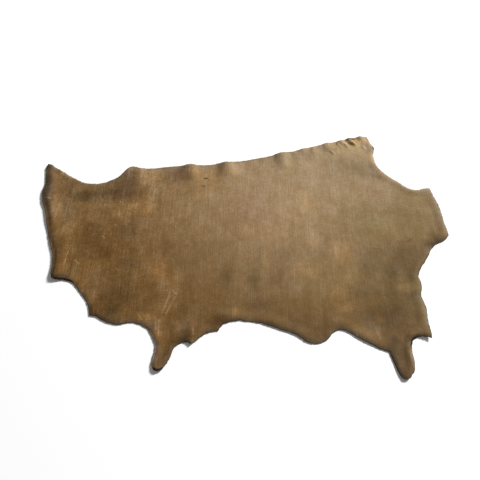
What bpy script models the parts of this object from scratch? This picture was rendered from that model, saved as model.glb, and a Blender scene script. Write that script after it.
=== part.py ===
"""A side of nubuck leather: half a cattle hide, slit along the backbone and laid out grain side up.

The sheet is one piece. X runs along the hide, from the neck at -X to the butt at +X, and the
backbone cut faces +Y. The underside lies on z = 0, apart from the rolled edges and the ripples.
"""

import math
from typing import NamedTuple

import bmesh
import bpy
import numpy as np
from mathutils import Vector
from mathutils.geometry import delaunay_2d_cdt, interpolate_bezier

# Driving sizes, in metres
THICKNESS = 0.002
FLAT_LIMIT = 1e-6
EDGE_STEP = 0.023
GRID_STEPS = (0.060, 0.024, 0.016, 0.012)

# Rolled edges: the crest lies at this share of the roll's reach, and the cut edge dips back
# to this share of the crest's height
CREST_SHARE = 0.35
EDGE_SHARE = 0.3
ROLL_BLEND = 0.02

# Grid points keep this share of their own step clear of the cut edge and of each other
EDGE_CLEARANCE = 0.5
# Rows of points that follow the edge: how deep each lies, as a share of the roll's reach, and
# which of the edge's points it takes
ROLL_ROWS = ((CREST_SHARE, 1), (0.65, 2), (1.0, 2))
# A row's point is left out where the edge bends nearer than this share of the row's depth
ROW_CLEARANCE = 0.9
# The grid is shifted by these shares of its step, so that no point lies on the origin
GRID_SHIFT_X = 1.0 / 3.0
GRID_SHIFT_Y = 1.0 / 4.0
# A fold takes grid points about this share of its half width apart, and a grid serves where
# its step is no finer than the wanted one by more than this factor
FOLD_DETAIL = 0.42
GRID_MARGIN = 1.5

# Colour and finish of the grain side
TAN_BROWN = (0.246, 0.159, 0.085, 1.0)
NAP_ROUGHNESS = 0.9


class Wave(NamedTuple):
    """An unevenness that runs along the cut edge: its length, its share of the lift, its phase."""

    length: float
    share: float
    phase: float


class Stretch(NamedTuple):
    """A run of the cut edge: a smooth curve that starts at a corner, and how far it rolls up."""

    name: str
    lift: float
    reach: float
    marks: tuple


class Fold(NamedTuple):
    """A soft ridge, at full height where it starts and faded out where it ends.

    Its two half widths are those to its left and right, seen along it from its start.
    """

    name: str
    start_x: float
    start_y: float
    end_x: float
    end_y: float
    height: float
    left_width: float
    right_width: float


class Slit(NamedTuple):
    """A knife cut right through the hide, gaping in the shape of a lens along X."""

    x: float
    y: float
    length: float
    gape: float


# The rolls rise and sink unevenly along the edge
ROLL_WAVES = (Wave(0.410, 0.28, 0.4), Wave(0.173, 0.20, 2.1), Wave(0.097, 0.10, 4.0))

# The cut edge, clockwise from the neck's top corner: each mark is an x and y on the table
CUT_EDGE = (
    Stretch("neck_corner", 0.010, 0.060, ((-1.128, 0.522),)),
    Stretch("withers_notch", 0.003, 0.035, (
        (-1.105, 0.515), (-1.020, 0.458), (-0.955, 0.418), (-0.870, 0.380),
        (-0.810, 0.378), (-0.745, 0.400), (-0.692, 0.436), (-0.647, 0.482),
    )),
    Stretch("backbone", 0.002, 0.030, (
        (-0.626, 0.490), (-0.545, 0.490), (-0.400, 0.504), (-0.270, 0.514),
        (-0.170, 0.518), (-0.100, 0.528), (0.110, 0.566), (0.250, 0.602),
        (0.500, 0.672), (0.650, 0.713), (0.740, 0.733),
    )),
    Stretch("tail_root", 0.004, 0.040, ((0.785, 0.735), (0.800, 0.684))),
    Stretch("tail_notch", 0.004, 0.045, (
        (0.815, 0.640), (0.804, 0.560), (0.815, 0.505), (0.855, 0.450),
        (0.930, 0.382), (0.975, 0.345), (1.035, 0.336), (1.075, 0.345),
    )),
    Stretch("butt", 0.005, 0.050, (
        (1.095, 0.345), (1.105, 0.290), (1.122, 0.215), (1.126, 0.120),
    )),
    Stretch("flank", 0.006, 0.060, (
        (1.133, 0.040), (1.120, 0.015), (1.065, -0.018), (1.030, -0.045),
        (0.990, -0.105), (0.935, -0.182), (0.924, -0.210), (0.931, -0.258),
        (0.919, -0.310), (0.929, -0.390), (0.925, -0.450), (0.927, -0.490),
    )),
    Stretch("hind_shank", 0.007, 0.045, (
        (0.922, -0.542), (0.860, -0.534), (0.830, -0.555), (0.821, -0.600),
        (0.823, -0.650), (0.803, -0.712), (0.785, -0.732), (0.762, -0.734),
        (0.738, -0.705), (0.725, -0.655),
    )),
    Stretch("belly", 0.007, 0.065, (
        (0.712, -0.607), (0.670, -0.590), (0.580, -0.543), (0.512, -0.502),
        (0.485, -0.497), (0.460, -0.510), (0.420, -0.553), (0.385, -0.565),
        (0.330, -0.560), (0.290, -0.533), (0.205, -0.496), (0.095, -0.462),
        (0.000, -0.451), (-0.050, -0.461), (-0.080, -0.477),
    )),
    Stretch("elbow", 0.006, 0.055, ((-0.099, -0.502), (-0.155, -0.515), (-0.185, -0.535))),
    Stretch("fore_shank", 0.006, 0.045, (
        (-0.225, -0.575), (-0.265, -0.560), (-0.295, -0.576), (-0.325, -0.640),
        (-0.345, -0.677), (-0.382, -0.701), (-0.402, -0.680), (-0.402, -0.625),
        (-0.396, -0.580), (-0.405, -0.555), (-0.422, -0.522),
    )),
    Stretch("brisket", 0.006, 0.060, (
        (-0.436, -0.497), (-0.475, -0.474), (-0.530, -0.462), (-0.585, -0.472),
        (-0.650, -0.459), (-0.700, -0.433),
    )),
    Stretch("throat", 0.006, 0.060, (
        (-0.733, -0.428), (-0.752, -0.367), (-0.805, -0.299), (-0.850, -0.252),
        (-0.890, -0.234), (-0.928, -0.231),
    )),
    Stretch("neck", 0.016, 0.095, (
        (-0.955, -0.229), (-0.966, -0.205), (-0.970, -0.150), (-0.985, -0.080),
        (-1.015, 0.000), (-1.050, 0.100), (-1.080, 0.195), (-1.103, 0.245),
        (-1.120, 0.320), (-1.116, 0.375), (-1.124, 0.440), (-1.133, 0.500),
    )),
)

# Ripples that run in from the backbone, the crumpled tail root, and the corners that stand up
FOLDS = (
    Fold("withers", -0.630, 0.505, -0.545, 0.270, 0.017, 0.085, 0.110),
    Fold("shoulder", -0.285, 0.520, -0.262, 0.340, 0.015, 0.054, 0.076),
    Fold("chine", -0.075, 0.535, -0.045, 0.385, 0.014, 0.062, 0.076),
    Fold("loin", 0.255, 0.608, 0.262, 0.445, 0.014, 0.054, 0.068),
    Fold("hip", 0.388, 0.642, 0.390, 0.560, 0.006, 0.036, 0.040),
    Fold("croup", 0.530, 0.684, 0.535, 0.590, 0.008, 0.040, 0.046),
    Fold("tail_left", 0.612, 0.705, 0.668, 0.650, 0.007, 0.026, 0.026),
    Fold("tail_middle", 0.668, 0.716, 0.730, 0.655, 0.012, 0.026, 0.026),
    Fold("tail_right", 0.738, 0.740, 0.780, 0.640, 0.009, 0.030, 0.030),
    Fold("tail_under", 0.812, 0.640, 0.735, 0.610, 0.005, 0.030, 0.030),
    Fold("flank_corner", 0.930, -0.550, 0.850, -0.440, 0.010, 0.060, 0.060),
    Fold("hind_tip", 0.774, -0.740, 0.770, -0.650, 0.006, 0.050, 0.050),
    Fold("fore_tip", -0.385, -0.705, -0.372, -0.620, 0.007, 0.055, 0.055),
    Fold("elbow_corner", -0.225, -0.580, -0.220, -0.500, 0.006, 0.050, 0.050),
    Fold("throat_corner", -0.960, -0.235, -0.890, -0.190, 0.008, 0.060, 0.060),
)

SLITS = (
    Slit(-0.192, 0.421, 0.026, 0.0050),
    Slit(-0.204, 0.364, 0.022, 0.0045),
)
SLIT_STEPS = 4

# The triangulation's own number for keeping only what lies within the loops
INSIDE_ONLY = 1


def clear_scene():
    for item in list(bpy.data.objects):
        bpy.data.objects.remove(item, do_unlink=True)


def tangents(marks, corners):
    """The unit direction of the cut edge at each mark, or none at a corner."""
    found = []
    for i, here in enumerate(marks):
        back = here - marks[i - 1]
        ahead = marks[(i + 1) % len(marks)] - here
        blend = back.normalized() * ahead.length + ahead.normalized() * back.length
        found.append(None if corners[i] else blend.normalized())
    return found


def away_from(other_end, chord):
    """The direction at a corner that bows the curve evenly with its other end."""
    return (2.0 * chord - other_end).normalized() if other_end else chord


def unevenness(points):
    """How much the roll rises above or sinks below its even lift, at each point of the edge."""
    lengths = np.linalg.norm(np.roll(points, -1, axis=0) - points, axis=1)
    run = np.concatenate(([0.0], np.cumsum(lengths)[:-1]))
    waves = [wave.share * np.sin(math.tau * run / wave.length + wave.phase) for wave in ROLL_WAVES]
    return 1.0 + np.sum(waves, axis=0)


def cut_edge():
    """The edge's points, clockwise, with the lift and the reach of the roll at each."""
    marks = [Vector((x, y, 0.0)) for stretch in CUT_EDGE for x, y in stretch.marks]
    corners = [i == 0 for stretch in CUT_EDGE for i in range(len(stretch.marks))]
    rolls = [(stretch.lift, stretch.reach) for stretch in CUT_EDGE for _ in stretch.marks]
    directions = tangents(marks, corners)
    points = []
    point_rolls = []
    for i, start in enumerate(marks):
        j = (i + 1) % len(marks)
        run = marks[j] - start
        chord = run.normalized()
        leave = directions[i] or away_from(directions[j], chord)
        arrive = directions[j] or away_from(directions[i], chord)
        handle = run.length / 3.0
        steps = max(1, math.ceil(run.length / EDGE_STEP))
        curve = interpolate_bezier(
            start, start + leave * handle, marks[j] - arrive * handle, marks[j], steps + 1
        )
        points += [(point.x, point.y) for point in curve[:-1]]
        point_rolls += [rolls[i]] * steps
    points = np.array(points)
    point_rolls = np.array(point_rolls)
    point_rolls[:, 0] *= unevenness(points)
    return points, point_rolls


def slit_loop(slit):
    """The lens of one cut, point by point round its two lips."""
    angles = [math.pi * k / SLIT_STEPS for k in range(2 * SLIT_STEPS)]
    half_length = slit.length / 2.0
    half_gape = slit.gape / 2.0
    return [
        (slit.x + half_length * math.cos(a), slit.y + half_gape * math.sin(a)) for a in angles
    ]


def distances(points, starts, ends):
    """How far each point lies from each line, how far along it, and whether to its left."""
    runs = ends - starts
    offsets = points[:, None, :] - starts[None, :, :]
    along = (offsets * runs).sum(axis=2) / (runs**2).sum(axis=1)
    along = np.clip(along, 0.0, 1.0)
    gaps = offsets - along[:, :, None] * runs
    left = runs[:, 0] * offsets[:, :, 1] - runs[:, 1] * offsets[:, :, 0] > 0.0
    return np.sqrt((gaps**2).sum(axis=2)), along, left


def edge_distances(points, loop):
    """How far each point lies from each line of a closed loop."""
    return distances(points, loop, np.roll(loop, -1, axis=0))[0]


def bell(share):
    """1 at the middle, level at both ends, and exactly 0 from a share of 1 outwards."""
    return np.cos(np.clip(share, 0.0, 1.0) * math.pi / 2.0) ** 2


def edge_roll(points, edge, rolls):
    """The height of the rolled edge: it climbs from the flat to a crest, then dips to the cut."""
    away = edge_distances(points, edge)
    nearest = away.min(axis=1)
    weights = np.exp((nearest[:, None] - away) / ROLL_BLEND)
    weights /= weights.sum(axis=1)[:, None]
    lift = weights @ rolls[:, 0]
    reach = weights @ rolls[:, 1]
    crest = CREST_SHARE * reach
    inner = bell((nearest - crest) / (reach - crest))
    outer = EDGE_SHARE + (1.0 - EDGE_SHARE) * np.sin(math.pi / 2.0 * nearest / crest)
    return lift * np.where(nearest < crest, outer, inner)


def fold_parts(points):
    """Each fold's height at each point, and how many of its half widths away it lies."""
    starts = np.array([(fold.start_x, fold.start_y) for fold in FOLDS])
    ends = np.array([(fold.end_x, fold.end_y) for fold in FOLDS])
    heights = np.array([fold.height for fold in FOLDS])
    left_widths = np.array([fold.left_width for fold in FOLDS])
    right_widths = np.array([fold.right_width for fold in FOLDS])
    away, along, left = distances(points, starts, ends)
    shares = away / np.where(left, left_widths, right_widths)
    return heights * bell(shares) * bell(along), shares


def underside(points, edge, rolls):
    """The height of the flesh side over the table, exactly 0 wherever the hide lies flat."""
    folds, _ = fold_parts(points)
    height = edge_roll(points, edge, rolls) + folds.sum(axis=1)
    return np.where(height < FLAT_LIMIT, 0.0, height)


def wanted_step(points):
    """How far apart the grid's points may be here: closer on the folds, as each one needs."""
    step = np.full(len(points), GRID_STEPS[0])
    _, shares = fold_parts(points)
    for i, fold in enumerate(FOLDS):
        half_width = min(fold.left_width, fold.right_width)
        detail = max(FOLD_DETAIL * half_width, GRID_STEPS[-1])
        step = np.where(shares[:, i] < 1.0, np.minimum(step, detail), step)
    return step


def inside(points, loop):
    """Which points lie within a closed loop."""
    x, y = points[:, 0:1], points[:, 1:2]
    x0, y0 = loop[:, 0], loop[:, 1]
    x1, y1 = np.roll(x0, -1), np.roll(y0, -1)
    spans = (y0 > y) != (y1 > y)
    rise = np.where(y1 == y0, 1.0, y1 - y0)
    crossings = spans & (x < x0 + (y - y0) * (x1 - x0) / rise)
    return crossings.sum(axis=1) % 2 == 1


def triangle_grid(step):
    """The points of an even triangular grid, over more than the whole hide."""
    all_marks = np.array([mark for stretch in CUT_EDGE for mark in stretch.marks])
    rows = int(np.abs(all_marks).max() / step) + 2
    places = np.array([(i, j) for j in range(-rows, rows) for i in range(-2 * rows, 2 * rows)])
    x = (places[:, 0] + 0.5 * places[:, 1] + GRID_SHIFT_X) * step
    y = (places[:, 1] * math.sqrt(0.75) + GRID_SHIFT_Y) * step
    return np.column_stack((x, y))


def spaced(points, kept, gap):
    """The points that lie further than a gap from each point already kept."""
    away = np.sqrt(((points[:, None, :] - kept[None, :, :]) ** 2).sum(axis=2))
    return points[away.min(axis=1) > gap]


def roll_row(edge, rolls, share, stride):
    """A row of points that follows the edge, at a share of the roll's reach."""
    along = np.roll(edge, -1, axis=0) - np.roll(edge, 1, axis=0)
    inwards = np.column_stack((along[:, 1], -along[:, 0]))
    inwards /= np.linalg.norm(inwards, axis=1)[:, None]
    depth = share * rolls[:, 1]
    row = (edge + inwards * depth[:, None])[::stride]
    clear = edge_distances(row, edge).min(axis=1) > ROW_CLEARANCE * depth[::stride]
    return row[inside(row, edge) & clear]


def inner_points(edge, rolls, slit_loops):
    """The points within the edge: rows along the rolls, then grids from coarse to fine."""
    kept = edge
    for share, stride in ROLL_ROWS:
        row = roll_row(edge, rolls, share, stride)
        kept = np.vstack((kept, spaced(row, kept, EDGE_CLEARANCE * EDGE_STEP)))
    for step in GRID_STEPS:
        grid = triangle_grid(step)
        grid = grid[inside(grid, edge)]
        if step != GRID_STEPS[0]:
            grid = grid[wanted_step(grid) < GRID_MARGIN * step]
        for loop in slit_loops:
            away = edge_distances(grid, loop).min(axis=1)
            grid = grid[away > EDGE_CLEARANCE * GRID_STEPS[-1]]
        kept = np.vstack((kept, spaced(grid, kept, EDGE_CLEARANCE * step)))
    return kept[len(edge):]


def closed_run(first, count):
    """The lines that close a loop of points numbered from the first."""
    return [(first + i, first + (i + 1) % count) for i in range(count)]


def hide_mesh():
    """The flesh side as one skin of triangles, facing up, with the slits left open."""
    edge, rolls = cut_edge()
    middle = (edge.min(axis=0) + edge.max(axis=0)) / 2.0
    slit_loops = [np.array(slit_loop(slit)) for slit in SLITS]
    loops = [edge] + slit_loops
    points = np.vstack(loops + [inner_points(edge, rolls, slit_loops)])
    lines = []
    first = 0
    for loop in loops:
        lines += closed_run(first, len(loop))
        first += len(loop)
    flat = [Vector((x, y)) for x, y in points]
    flat, _, faces, _, _, _ = delaunay_2d_cdt(flat, lines, [], INSIDE_ONLY, FLAT_LIMIT)
    centres = np.array([np.mean([flat[i] for i in face], axis=0) for face in faces])
    on_hide = ~np.any([inside(centres, loop) for loop in slit_loops], axis=0)
    spots = np.array([(p.x, p.y) for p in flat])
    heights = underside(spots, edge, rolls)
    bm = bmesh.new()
    verts = [
        bm.verts.new((x - middle[0], y - middle[1], z)) for (x, y), z in zip(spots, heights)
    ]
    for face, keep in zip(faces, on_hide):
        if keep:
            bm.faces.new([verts[i] for i in face])
    loose = [vert for vert in bm.verts if not vert.link_faces]
    bmesh.ops.delete(bm, geom=loose, context="VERTS")
    bmesh.ops.recalc_face_normals(bm, faces=bm.faces)
    bm.normal_update()
    if sum(face.normal.z for face in bm.faces) < 0.0:
        bmesh.ops.reverse_faces(bm, faces=bm.faces)
    mesh = bpy.data.meshes.new("hide")
    bm.to_mesh(mesh)
    bm.free()
    return mesh


def nubuck():
    """The buffed grain: matt tan brown."""
    material = bpy.data.materials.new("nubuck")
    material.use_nodes = True
    shader = material.node_tree.nodes["Principled BSDF"]
    shader.inputs["Base Color"].default_value = TAN_BROWN
    shader.inputs["Roughness"].default_value = NAP_ROUGHNESS
    shader.inputs["Metallic"].default_value = 0.0
    return material


def build_hide():
    """The whole side, given its thickness upwards from the flesh side."""
    hide = bpy.data.objects.new("hide", hide_mesh())
    bpy.context.collection.objects.link(hide)
    hide.data.materials.append(nubuck())
    solidify = hide.modifiers.new("thickness", "SOLIDIFY")
    solidify.thickness = THICKNESS
    solidify.offset = 1.0
    solidify.use_rim = True
    hide.data.shade_smooth()
    return hide


def main():
    clear_scene()
    build_hide()


main()
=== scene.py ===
"""A side of brown nubuck leather: half a cattle hide, laid out grain side up.

The hide's solid gives the outline, the slits and the main folds. A finer sheet is laid on them
here, with the small creases and puckers of the real leather, and its buffed grain, its suede
flesh side and its raw cut edge each get a finish. X runs from the neck to the butt, +Y is the
backbone cut, and the leather lies on z = 0. Sizes are in metres.
"""

import math
from typing import NamedTuple

import bmesh
import bpy
import numpy as np
from bpy.props import FloatProperty, FloatVectorProperty, PointerProperty
from mathutils import Euler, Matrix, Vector, noise
from mathutils.bvhtree import BVHTree
from mathutils.geometry import delaunay_2d_cdt, interpolate_bezier
from mathutils.interpolate import poly_3d_calc
from mathutils.kdtree import KDTree


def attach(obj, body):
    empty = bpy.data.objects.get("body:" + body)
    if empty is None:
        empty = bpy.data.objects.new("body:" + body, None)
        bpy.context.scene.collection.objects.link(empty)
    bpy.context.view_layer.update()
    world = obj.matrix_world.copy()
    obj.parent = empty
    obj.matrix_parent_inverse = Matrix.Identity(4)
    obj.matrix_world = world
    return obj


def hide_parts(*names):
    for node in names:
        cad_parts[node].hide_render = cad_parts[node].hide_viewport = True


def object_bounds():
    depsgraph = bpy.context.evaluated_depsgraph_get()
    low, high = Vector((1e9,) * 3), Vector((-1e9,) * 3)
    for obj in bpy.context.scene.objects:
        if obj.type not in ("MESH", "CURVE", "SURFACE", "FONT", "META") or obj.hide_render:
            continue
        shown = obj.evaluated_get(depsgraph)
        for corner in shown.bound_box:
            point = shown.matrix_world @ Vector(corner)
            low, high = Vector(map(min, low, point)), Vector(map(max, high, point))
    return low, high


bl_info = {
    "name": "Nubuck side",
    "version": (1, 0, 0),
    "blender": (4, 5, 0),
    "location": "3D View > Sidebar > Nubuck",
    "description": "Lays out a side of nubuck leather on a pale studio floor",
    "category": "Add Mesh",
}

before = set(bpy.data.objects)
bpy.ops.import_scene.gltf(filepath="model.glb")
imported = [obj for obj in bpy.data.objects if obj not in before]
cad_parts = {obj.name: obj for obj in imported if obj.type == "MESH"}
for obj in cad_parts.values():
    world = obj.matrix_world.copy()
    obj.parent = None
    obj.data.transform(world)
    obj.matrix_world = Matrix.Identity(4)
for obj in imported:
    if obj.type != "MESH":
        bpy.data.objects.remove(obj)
CAD_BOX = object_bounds()

# The sheet, the node that it stands for, the finish that it takes and the floor that it lies on
SHEET = "nubuck_side"
NODE = "hide"
FLOOR = "studio_floor"
# Each point's distance from the outline, as the grain side's finish reads it
FROM_EDGE = "from_edge"

# Points closer than this are one point, and faces that meet at less than this turn are one side
WELD = 1e-6
SIDE_TURN = math.radians(55.0)
# The cut edge keeps a corner where it turns by more than this
CORNER_TURN = math.radians(50.0)
# The points stand twice as close as on the flat within this distance of the cut edge, and
# within this share of the half width of each crease narrower than the limit
EDGE_BAND = 0.018
CREASE_BAND = 1.3
NARROW_CREASE = 0.020
# The rows of an even triangular grid stand this share of its step apart
ROW_SHARE = math.sqrt(0.75)
# The grid stays this share of its step clear of the cut edge
CLEAR_SHARE = 0.62
SETTLE_PASSES = 3
# The knife's small waves along the cut edge: their lengths and their shares of the raggedness,
# and how much of that the slits have
KNIFE_WAVES = ((0.070, 0.8), (0.028, 0.8), (0.012, 0.9))
SLIT_RAGGED = 0.1
# The slits' lips stand this share of their gap on the solid apart
SLIT_PINCH = 0.16
# The triangulation's own number for keeping only what lies within the loops
INSIDE_ONLY = 1
# The finishes, in the order of the sheet's materials
GRAIN_SIDE, CUT_EDGE, FLESH_SIDE = range(3)
# The rounded upper corner of the cut edge starts this share of the thickness up
ROUND_START = 0.72
# The sheet is shaded sharp where its sides meet and where it turns by more than this
SHARP_TURN = math.radians(58.0)


class Crease(NamedTuple):
    """A soft ridge along a few marks, full in its middle and faded out at both ends."""

    height: float
    half_width: float
    marks: list


class Patch(NamedTuple):
    """A soft oval of the grain side, lighter or darker by a tone in stops, with a cast."""

    name: str
    x: float
    y: float
    half_length: float
    half_width: float
    tone: float
    cast: str = "plain"
    turn: float = 0.0


class Rim(NamedTuple):
    """A stretch of the grain side's rim within an oval, with a tone and a cast: most are painted
    shadow, shade or highlights along the edge.
    """

    name: str
    x: float
    y: float
    half_length: float
    half_width: float
    reach: float
    tone: float
    cast: str = "plain"
    turn: float = 0.0


class Scuff(NamedTuple):
    """A thin line where the nap is scratched pale, or marked dark if its strength is negative."""

    start_x: float
    start_y: float
    end_x: float
    end_y: float
    half_width: float
    strength: float


def metres(*lengths):
    """Lengths given in millimetres, in metres."""
    return [length / 1000.0 for length in lengths]


def read(kind, first, last, rows):
    """Rows as tuples of a kind, with the lengths from the first to before the last in metres."""
    return [kind(*row[:first], *metres(*row[first:last]), *row[last:]) for row in rows]


# Each small crease's height, half width and marks, in millimetres
CREASES = [Crease(*metres(*size), [metres(*mark) for mark in marks]) for *size, marks in (
    # The tail root and the backbone beside it
    (3.5, 11, ((640, 692), (652, 668), (664, 640))),
    (5, 14, ((645, 692), (690, 686), (724, 656))),
    (4, 11, ((664, 724), (702, 732))),
    (3.5, 11, ((750, 670), (760, 630))),
    (3, 13, ((600, 690), (622, 640))),
    (3, 13, ((548, 634), (574, 588))),
    (4, 20, ((450, 662), (448, 598))),
    (3, 22, ((335, 622), (338, 560))),
    # The fore shank's pit and the folds below it
    (1.8, 9, ((-362, -294), (-303, -333))),
    (1.6, 9, ((-348, -329), (-308, -293))),
    (2.2, 12, ((-338, -315), (-352, -380), (-374, -446))),
    (1.6, 10, ((-320, -325), (-359, -415))),
    (2, 11, ((-410, -430), (-401, -505))),
    (2, 11, ((-392, -445), (-382, -535))),
    (3.2, 24, ((-312, -452), (-308, -550))),
    (3.6, 26, ((-236, -440), (-232, -545))),
    # The hock
    (3.6, 22, ((660, -452), (676, -560))),
    (3, 24, ((726, -395), (738, -480))),
    # The neck's wrinkles
    (2.2, 20, ((-958, 390), (-940, 270))),
    (2.2, 22, ((-890, 366), (-882, 262))),
    (2.6, 26, ((-770, 350), (-742, 235))),
    # The long low swells across the body
    (3.4, 55, ((-520, 330), (-498, 150), (-490, 20))),
    (2.2, 45, ((-262, 360), (-250, 180))),
    (2, 40, ((-405, 50), (-400, -200))),
    (1.6, 36, ((-160, 80), (-150, -180))),
    (2.2, 34, ((12, -90), (0, -360))),
    (2, 36, ((160, 20), (152, -260))),
    (1.8, 48, ((300, 320), (300, 60))),
    (2.2, 42, ((392, -150), (470, -260), (545, -350))),
    (1.8, 50, ((610, 420), (590, 160))),
    (2.4, 50, ((940, 260), (955, 30))),
    (2.6, 50, ((-930, 210), (-905, -60))),
    (2.6, 55, ((-742, -110), (-700, -330))),
)]

# Casts multiply the colour where a patch is full
CASTS = {
    "plain": (1.0, 1.0, 1.0, 1.0),
    "olive": (0.97, 1.01, 0.93, 1.0),
    "red": (1.04, 0.975, 0.94, 1.0),
    "orange": (1.03, 0.98, 0.86, 1.0),
    "grey": (0.985, 1.02, 1.11, 1.0),
    "ash": (0.98, 1.05, 1.38, 1.0),
    "yellow": (1.01, 1.01, 0.90, 1.0),
    "violet": (1.02, 0.97, 1.06, 1.0),
    "brown": (1.10, 0.92, 0.55, 1.0),
}
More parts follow.
